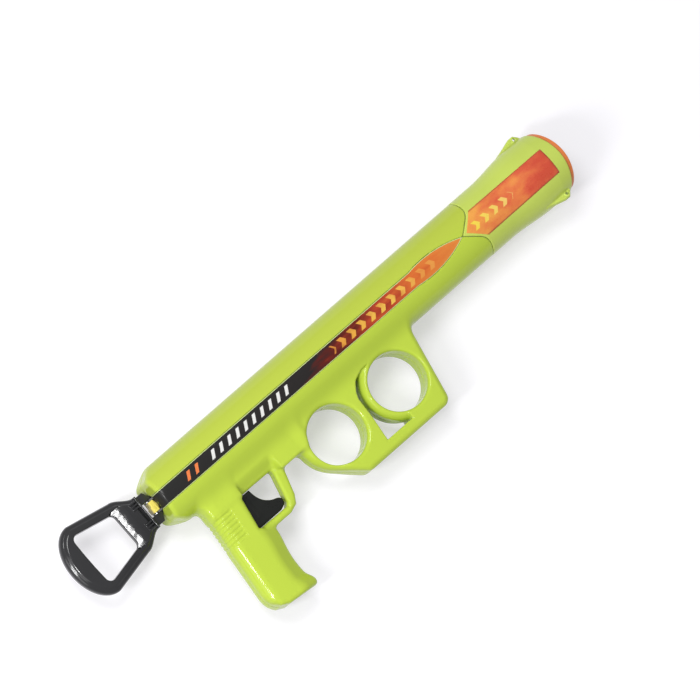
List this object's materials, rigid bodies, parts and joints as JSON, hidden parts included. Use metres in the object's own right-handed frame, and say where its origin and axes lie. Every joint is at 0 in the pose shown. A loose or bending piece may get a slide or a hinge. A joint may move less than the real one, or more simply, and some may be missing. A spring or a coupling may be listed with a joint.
{
  "type": "dog tennis ball launcher",
  "caption": "Hand-held tennis ball launcher: spring plunger in a lime-green barrel, pull handle, finger trigger and latch, ball holders in an under-frame, flared muzzle with a soft lip.",
  "frame": {"origin": "on the barrel axis in the plane of the funnel's mouth", "axes": "+X along the barrel out of the muzzle, +Y towards the launcher's top (the grip points to -Y), +Z across the shell split; the launcher lies on its left side"},
  "size_m": [0.6566, 0.2039, 0.0738],
  "materials": {
    "shell_green": "glossy moulded",
    "lip_orange": "satin soft",
    "trim_black": "glossy moulded",
    "label_orange": "printed film",
    "inner_grey": "plain",
    "rubber_black": "matte",
    "inner_dark": "plain",
    "steel": "plain",
    "inner_orange": "plain",
    "rod_yellow": "glossy moulded"
  },
  "bodies": {
    "launcher": {"right_shell": "shell_green", "left_shell": "shell_green", "muzzle_funnel": "shell_green", "muzzle_lip": "lip_orange", "side_strip_right": "trim_black", "side_strip_left": "trim_black", "front_label_right": "label_orange", "front_label_left": "label_orange", "launch_tube": "inner_grey", "bumper": "rubber_black", "bulkhead": "inner_dark", "rear_bush": "inner_dark", "case_screws": "steel", "main_spring": "steel", "trigger_spring": "steel", "latch_spring": "steel"},
    "plunger": {"plunger_head": "inner_orange", "head_seal": "rubber_black", "striking_pad": "rubber_black", "head_screw": "steel", "plunger_rod": "rod_yellow", "catch_collar": "steel", "collar_pin": "steel", "rod_key": "rod_yellow", "pull_handle": "trim_black", "cross_pin": "steel"},
    "trigger": {"trigger": "trim_black"},
    "latch": {"latch_plate": "steel", "latch_pin": "steel"}
  },
  "joints": [
    {"name": "plunger_slide", "type": "slide", "parent": "launcher", "child": "plunger", "axis": [-1, 0, 0], "range_m": [0, 0.14], "stiffness_N_per_m": 250, "springref_m": -0.05, "deforming": ["main_spring"]},
    {"name": "trigger_slide", "type": "slide", "parent": "launcher", "child": "trigger", "axis": [-1, 0, 0], "range_m": [0, 0.006], "stiffness_N_per_m": 400, "springref_m": -0.006, "deforming": ["trigger_spring"]},
    {"name": "latch_slide", "type": "slide", "parent": "launcher", "child": "latch", "axis": [0, -1, 0], "range_m": [0, 0.0044], "deforming": ["latch_spring"]}
  ],
  "couplings": [
    {"joint": "latch_slide", "follows": "trigger_slide", "ratio": 0.71667}
  ]
}
